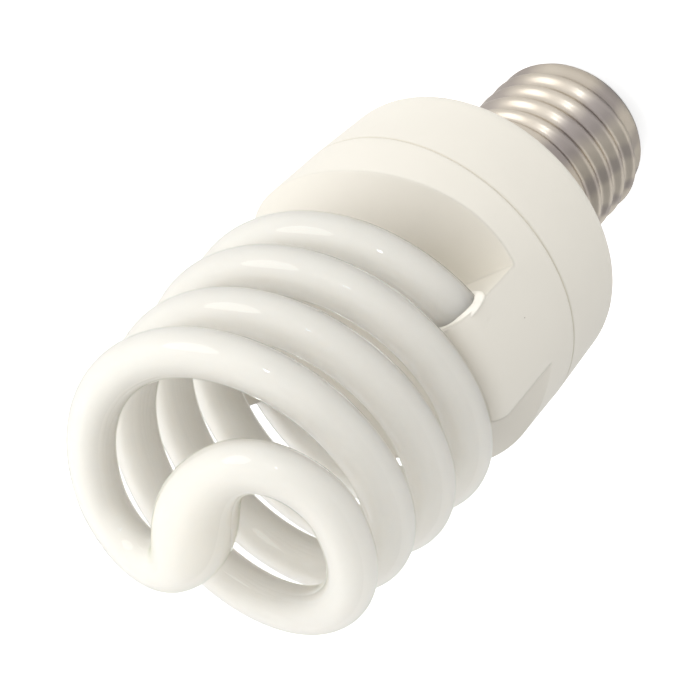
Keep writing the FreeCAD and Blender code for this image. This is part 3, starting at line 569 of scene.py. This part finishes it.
def nickel_material(colours, shell):
    """Plated sheet: warm grey, drawn round, with painted reflection bands, handled places, and punch marks
    with painted shade in them.
    """
    material, nodes = new_material("nickel sheet")
    place = nodes.place()
    around = group_node(nodes, shared("round place", round_place_group), Place=place)
    made = group_node(nodes, shared("mottle", mottle_group), Place=place, Light=colours.nickel,
                      Dark=colours.tarnish_and_dent_shade, Scale=60.0, Amount=0.4, Rough=0.31, Rough_Change=0.08)
    base = made["Color"]
    wander = nodes.noise(nodes.place((1.0, 1.0, 2.0)), 130.0, detail=3.0)
    turn = nodes.math("MULTIPLY_ADD", wander, REFLECTION_BAND_WANDER,
                      nodes.math("SUBTRACT", around["Turn"], REFLECTION_BAND_WANDER / 2))
    # Painted reflection and shade: darker bands blended into the sheet's colour
    for middle, width, strength in PAINTED_REFLECTION_BANDS:
        off = nodes.math("ABSOLUTE", nodes.math("SUBTRACT", turn, middle))
        base = nodes.blend(nodes.ramp(off, width * 0.2, width, strength, 0.0), base, colours.painted_reflection_band)
    marks = punch_mask(nodes, around["Turn"], around["Height"], shell)
    rim = nodes.ramp(around["Height"], shell.mouth - RIM_WIDTH, shell.mouth - RIM_EDGE)
    worn = nodes.ramp(nodes.noise(place, 500.0, detail=2.0), 0.45, 0.6)
    # Painted shade in the punch dents, together with real wear along the rim
    dent_shade_and_worn_rim = nodes.math("MAXIMUM", nodes.math("MULTIPLY", marks, 0.9), nodes.math("MULTIPLY", rim, worn))
    base = nodes.blend(dent_shade_and_worn_rim, base, colours.tarnish_and_dent_shade)
    lines = nodes.noise(nodes.place((1.0, 1.0, 14.0)), 220.0, detail=3.0)
    fine = nodes.bump(lines, 0.12, 0.0001)
    normal = nodes.bump(marks, -1.0, 0.0004, fine)
    close_material(nodes, Base_Color=base, Roughness=made["Roughness"], Metallic=1.0, Normal=normal)
    return material


class LAMP_OT_add_shell(bpy.types.Operator):
    """Adds the screw shell with its rounded thread"""

    bl_idname = "lamp.add_shell"
    bl_label = "Add screw shell"

    def execute(self, context):
        shell = context.scene.lamp_shell
        piece = new_piece("threaded_shell", shell_mesh(shell),
                          nickel_material(context.scene.lamp_colours, shell))
        thick = piece.modifiers.new("sheet", "SOLIDIFY")
        thick.thickness = shell.sheet
        thick.offset = -1.0
        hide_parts("screw_shell")
        return {"FINISHED"}


# Section of the bead: shares of the cement's width and height
SEAL_PROFILE = ((0.02, 1.0), (0.12, 1.05), (0.4, 0.8), (0.72, 0.42), (1.0, -0.12), (1.0, -0.5), (0.02, -0.5))
SEAL_POINTS = 72
SEAL_LEAN = 0.35
SEAL_LEAN_ANGLE = 0.6
WAVE_AROUND = 1.3
WAVE_ALONG = 300


def seal_mesh(tube, seal, start):
    """A bead of cement around the tube, wider on one side."""
    bm = bmesh.new()
    heading = strand_heading(tube, 0.0, start)
    point = strand_point(tube, 0.0, start)
    rings = []
    for reach, lift in SEAL_PROFILE:
        rings.append(add_ring(bm, point + heading * seal.height * lift, heading,
                              tube.radius + seal.spread * reach, SEAL_POINTS))
    lofted(bm, rings + [rings[0]])
    place = ring_matrix(point, heading)
    back = place.inverted()
    for vert in bm.verts:
        local = back @ vert.co
        out = Vector((local.x, local.y, 0.0))
        turned = math.atan2(local.y, local.x)
        wave = noise.noise(Vector((math.cos(turned) * WAVE_AROUND, math.sin(turned) * WAVE_AROUND,
                                   start + local.z * WAVE_ALONG)))
        beyond = out.length - tube.radius
        scale = 1.0 + seal.unevenness * (SEAL_LEAN * math.cos(turned + SEAL_LEAN_ANGLE) + wave)
        local.x, local.y = out.normalized().xy * (tube.radius + beyond * scale)
        local.z *= 1.0 + seal.unevenness * wave
        vert.co = place @ local
    return bm


class LAMP_OT_add_seals(bpy.types.Operator):
    """Adds the cement where both strands leave the holder"""

    bl_idname = "lamp.add_seals"
    bl_label = "Add seals"

    def execute(self, context):
        tube = context.scene.lamp_tube
        seal = context.scene.lamp_seal
        tone = context.scene.lamp_colours.cement
        cement = mottled("seal cement", tone, darker(tone, 0.85), scale=420.0, amount=0.5, rough=0.6,
                         rough_change=0.2, bump=0.3)
        for label, start in (("first", 0.0), ("second", HALF_TURN)):
            piece = new_piece(f"cement_bead_{label}", seal_mesh(tube, seal, start), cement)
            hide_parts(f"seal_cement_{label}")
        return {"FINISHED"}


# The stained seam's strength, and the half widths over which it fades
STAIN_STRENGTH = 0.3
STAIN_CORE = 0.00006
STAIN_WIDTH = 0.0002
EDGE_ROUNDING = 0.0007


def ivory_material(colours, seam_height):
    """Satin moulded plastic with a thin stained line at the seam."""
    material, nodes = new_material("ivory plastic")
    place = nodes.place()
    made = group_node(nodes, shared("mottle", mottle_group), Place=place, Light=colours.ivory,
                      Dark=darker(colours.ivory, 0.95), Scale=45.0, Amount=0.6, Rough=0.42, Rough_Change=0.1)
    dusty = group_node(nodes, shared("dust specks", dust_group), Place=place, Base=made["Color"],
                       Speck=colours.speck, Scale=160.0, Size=0.03)["Color"]
    height = nodes.add("ShaderNodeSeparateXYZ", {0: place}).outputs["Z"]
    off = nodes.math("ABSOLUTE", nodes.math("SUBTRACT", height, seam_height))
    stain = nodes.ramp(off, STAIN_CORE, STAIN_WIDTH, STAIN_STRENGTH, 0.0)
    base = nodes.blend(stain, dusty, colours.stain)
    rounded = nodes.soft_edges(EDGE_ROUNDING)
    close_material(nodes, Base_Color=base, Roughness=made["Roughness"], IOR=1.49,
                   Normal=nodes.bump(made["Height"], 0.06, 0.0001, rounded))
    return material


class LAMP_OT_finish_covers(bpy.types.Operator):
    """Gives both plastic covers their finish"""

    bl_idname = "lamp.finish_covers"
    bl_label = "Finish covers"

    def execute(self, context):
        seam_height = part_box("ballast_housing")[1].z
        plastic = ivory_material(context.scene.lamp_colours, seam_height)
        dress("ballast_housing", plastic)
        dress("tube_holder", plastic)
        return {"FINISHED"}


class LAMP_OT_finish_cap(bpy.types.Operator):
    """Gives the cap's insulator, contact and solder their finish"""

    bl_idname = "lamp.finish_cap"
    bl_label = "Finish cap"

    def execute(self, context):
        colours = context.scene.lamp_colours
        black = mottled("black glass", colours.insulator, (0.03, 0.027, 0.025), scale=160.0, amount=0.7,
                        rough=0.16, rough_change=0.12, bump=0.1, specks=(0.15, 0.14, 0.12))
        brass = mottled("brass contact", colours.brass, darker(colours.brass, 0.7), scale=400.0,
                        amount=0.7, rough=0.3, rough_change=0.2, bump=0.1, Metallic=1.0)
        solder = mottled("solder", colours.solder, darker(colours.solder, 0.7), scale=700.0,
                         amount=0.6, rough=0.35, rough_change=0.3, bump=0.4, Metallic=1.0)
        dress("cap_insulator", black)
        dress("centre_contact", brass)
        dress("contact_solder", solder)
        return {"FINISHED"}


# Material, pieces, colour, roughness and metallic
INNER_FINISHES = [
    ("board laminate", ("circuit_board",), (0.42, 0.30, 0.13), 0.5, 0.0),
    ("capacitor sleeve", ("bulk_capacitor",), (0.02, 0.025, 0.05), 0.35, 0.0),
    ("ferrite", ("choke_core", "drive_ring", "filter_coil"), (0.05, 0.05, 0.055), 0.6, 0.0),
    ("former plastic", ("choke_former",), (0.75, 0.72, 0.62), 0.45, 0.0),
    ("copper winding", ("choke_winding", "drive_windings"), (0.55, 0.20, 0.09), 0.3, 1.0),
    ("film capacitor", ("resonance_capacitor", "coupling_capacitor"), (0.33, 0.09, 0.03), 0.3, 0.0),
    ("black package", ("upper_transistor", "lower_transistor"), (0.02, 0.02, 0.02), 0.5, 0.0),
    ("resistor body", ("resistors", "fusible_resistor"), (0.55, 0.42, 0.25), 0.5, 0.0),
    ("diode body", ("rectifier_diodes", "trigger_diode"), (0.03, 0.03, 0.03), 0.4, 0.0),
    ("tinned wire", ("wrap_pins", "filament_wires"), (0.68, 0.67, 0.65), 0.3, 1.0),
    ("lead insulation", ("live_lead", "neutral_lead"), (0.55, 0.52, 0.48), 0.5, 0.0),
]


class LAMP_OT_finish_board(bpy.types.Operator):
    """Gives the parts inside the housing their finishes"""

    bl_idname = "lamp.finish_board"
    bl_label = "Finish inner parts"

    def execute(self, context):
        for name, pieces, tone, rough, metal in INNER_FINISHES:
            finish = mottled(name, tone, darker(tone, 0.75), scale=300.0, amount=0.6, rough=rough,
                             rough_change=0.15, bump=0.15, Metallic=metal)
            for piece in pieces:
                dress(piece, finish)
        return {"FINISHED"}


# Stage: camera, floor, lamps and world

CAMERA_PLACE = (-0.245718, -0.157793, 0.300766)
CAMERA_AXES = ((-0.751203, 0.37219, -0.545132),
               (-0.002758, -0.827631, -0.561266),
               (-0.660066, -0.420121, 0.622745))
CAMERA_LENS = 134.74
LAMP_MIDDLE = (0.0, 0.0, 0.06)
FLOOR_SIZE = 6.0
FLOOR_DROP = 0.0002
FLOOR_LIFT = 0.65

# Soft lamps: name, place, size, power and colour
SOFTBOXES = (
    ("key", (0.20, -0.76, 0.52), 0.5, 1.15, (1.0, 0.985, 0.96)),
    ("glint", (-0.36, -0.55, 0.43), 0.05, 0.22, (0.93, 0.96, 1.0)),
)

# World light by how far a direction turns to a side: the range, and the strength at its two ends
DARK_SIDE = (-0.62, 0.77, 0.15)
FRONT_SIDE = (-0.5, -0.4, 0.77)
MIRRORED_LIGHT = (0.1, 0.9, 1.0, 0.45)
ROOM_LIGHT = (-0.1, 0.95, 1.27, 0.46)
GLASS_LIGHT = (-0.1, 0.95, 2.1, 1.75)
FRONT_DIP = (0.0, 1.0, 1.0, 0.3)


def add_camera(scene):
    """The camera at the photo's angle."""
    data = bpy.data.cameras.new("camera")
    data.lens = CAMERA_LENS
    data.sensor_width = 36.0
    data.clip_start = 0.01
    data.clip_end = 20.0
    camera = bpy.data.objects.new("camera", data)
    scene.collection.objects.link(camera)
    matrix = Matrix(CAMERA_AXES).transposed().to_4x4()
    matrix.translation = CAMERA_PLACE
    camera.matrix_world = matrix
    scene.camera = camera


def add_softbox(scene, name, place, size, power, tone):
    """A round lamp that points at the lamp's middle."""
    data = bpy.data.lights.new(name, "AREA")
    data.shape = "DISK"
    data.size = size
    data.energy = power
    data.color = tone
    lamp = bpy.data.objects.new(name, data)
    scene.collection.objects.link(lamp)
    lamp.location = place
    lamp.rotation_mode = "QUATERNION"
    lamp.rotation_quaternion = (Vector(LAMP_MIDDLE) - Vector(place)).to_track_quat("-Z", "Y")


def add_floor(scene):
    """A white floor that keeps the lamp's shadow."""
    bm = bmesh.new()
    bmesh.ops.create_grid(bm, x_segments=1, y_segments=1, size=FLOOR_SIZE,
                          matrix=Matrix.Translation((0.0, 0.0, -FLOOR_DROP)))
    mesh = bpy.data.meshes.new("floor")
    bm.to_mesh(mesh)
    bm.free()
    material, nodes = new_material("floor")
    seen = nodes.add("ShaderNodeLightPath").outputs["Is Camera Ray"]
    lift = nodes.math("MULTIPLY", seen, FLOOR_LIFT)
    close_material(nodes, Base_Color=(0.86, 0.86, 0.86), Roughness=1.0, Specular_IOR_Level=0.0,
                   Emission_Color=(1.0, 1.0, 1.0), Emission_Strength=lift)
    mesh.materials.append(material)
    floor = bpy.data.objects.new("floor", mesh)
    scene.collection.objects.link(floor)


def add_world(scene):
    """Soft light from all round, plain white where the camera sees it, and brighter behind glass."""
    world = bpy.data.worlds.new("studio")
    scene.world = world
    world.use_nodes = True
    nodes = Nodes(world.node_tree)
    world.node_tree.nodes.clear()
    path = nodes.add("ShaderNodeLightPath").outputs
    direction = nodes.add("ShaderNodeTexCoord").outputs["Generated"]

    def toward(side):
        product = nodes.add("ShaderNodeVectorMath", {0: direction, 1: side}, operation="DOT_PRODUCT")
        return product.outputs["Value"]

    def swapped(mask, value, other):
        """The value, or the other one where the mask is one."""
        return nodes.math("MULTIPLY_ADD", mask, nodes.math("SUBTRACT", other, value), value)

    toward_dark = toward(DARK_SIDE)
    reflected = nodes.ramp(toward_dark, *MIRRORED_LIGHT)
    lit = nodes.ramp(toward_dark, *ROOM_LIGHT)
    direct = nodes.math("LESS_THAN", path["Diffuse Depth"], 0.5)
    through_glass = nodes.math("MULTIPLY", nodes.ramp(toward_dark, *GLASS_LIGHT),
                               nodes.ramp(toward(FRONT_SIDE), *FRONT_DIP))
    lit = swapped(path["Is Transmission Ray"], lit, through_glass)
    mirrored = nodes.math("MULTIPLY", path["Is Glossy Ray"], direct)
    strength = swapped(mirrored, lit, reflected)
    seen_through = nodes.math("MULTIPLY", path["Is Transmission Ray"], direct)
    plain = nodes.math("MAXIMUM", path["Is Camera Ray"], seen_through)
    strength = swapped(plain, strength, 1.0)
    light = nodes.add("ShaderNodeBackground", {"Color": (1.0, 0.995, 0.98), "Strength": strength})
    nodes.add("ShaderNodeOutputWorld", {"Surface": light.outputs[0]})


class LAMP_OT_add_stage(bpy.types.Operator):
    """Adds the camera, the floor and the studio light"""

    bl_idname = "lamp.add_stage"
    bl_label = "Add stage"

    def execute(self, context):
        scene = context.scene
        scene.view_settings.view_transform = "Standard"
        add_camera(scene)
        add_world(scene)
        add_floor(scene)
        for softbox in SOFTBOXES:
            add_softbox(scene, *softbox)
        return {"FINISHED"}


PIECE_OPERATORS = (
    LAMP_OT_add_stage, LAMP_OT_add_glass, LAMP_OT_add_shell, LAMP_OT_add_seals,
    LAMP_OT_finish_covers, LAMP_OT_finish_cap, LAMP_OT_finish_board,
)


class LAMP_PT_looks(bpy.types.Panel):
    """Lists the lamp's pieces and finishes"""

    bl_idname = "LAMP_PT_looks"
    bl_label = "Spiral lamp"
    bl_space_type = "VIEW_3D"
    bl_region_type = "UI"
    bl_category = "Spiral Lamp"

    def draw(self, context):
        for operator in PIECE_OPERATORS:
            self.layout.operator(operator.bl_idname)
        for group in (context.scene.lamp_tube, context.scene.lamp_shell, context.scene.lamp_seal,
                      context.scene.lamp_colours):
            column = self.layout.column()
            for name in group.__annotations__:
                column.prop(group, name)


GROUPS = {
    "lamp_tube": LampTube, "lamp_shell": LampShell, "lamp_seal": LampSeal, "lamp_colours": LampColours,
}


def register():
    for group in GROUPS.values():
        bpy.utils.register_class(group)
    for name, group in GROUPS.items():
        setattr(bpy.types.Scene, name, PointerProperty(type=group))
    for operator in PIECE_OPERATORS:
        bpy.utils.register_class(operator)
    bpy.utils.register_class(LAMP_PT_looks)


def unregister():
    bpy.utils.unregister_class(LAMP_PT_looks)
    for operator in reversed(PIECE_OPERATORS):
        bpy.utils.unregister_class(operator)
    for name in GROUPS:
        delattr(bpy.types.Scene, name)
    for group in reversed(list(GROUPS.values())):
        bpy.utils.unregister_class(group)


def main():
    register()
    for operator in PIECE_OPERATORS:
        area, verb = operator.bl_idname.split(".")
        getattr(getattr(bpy.ops, area), verb)()


if __name__ == "__main__":
    main()
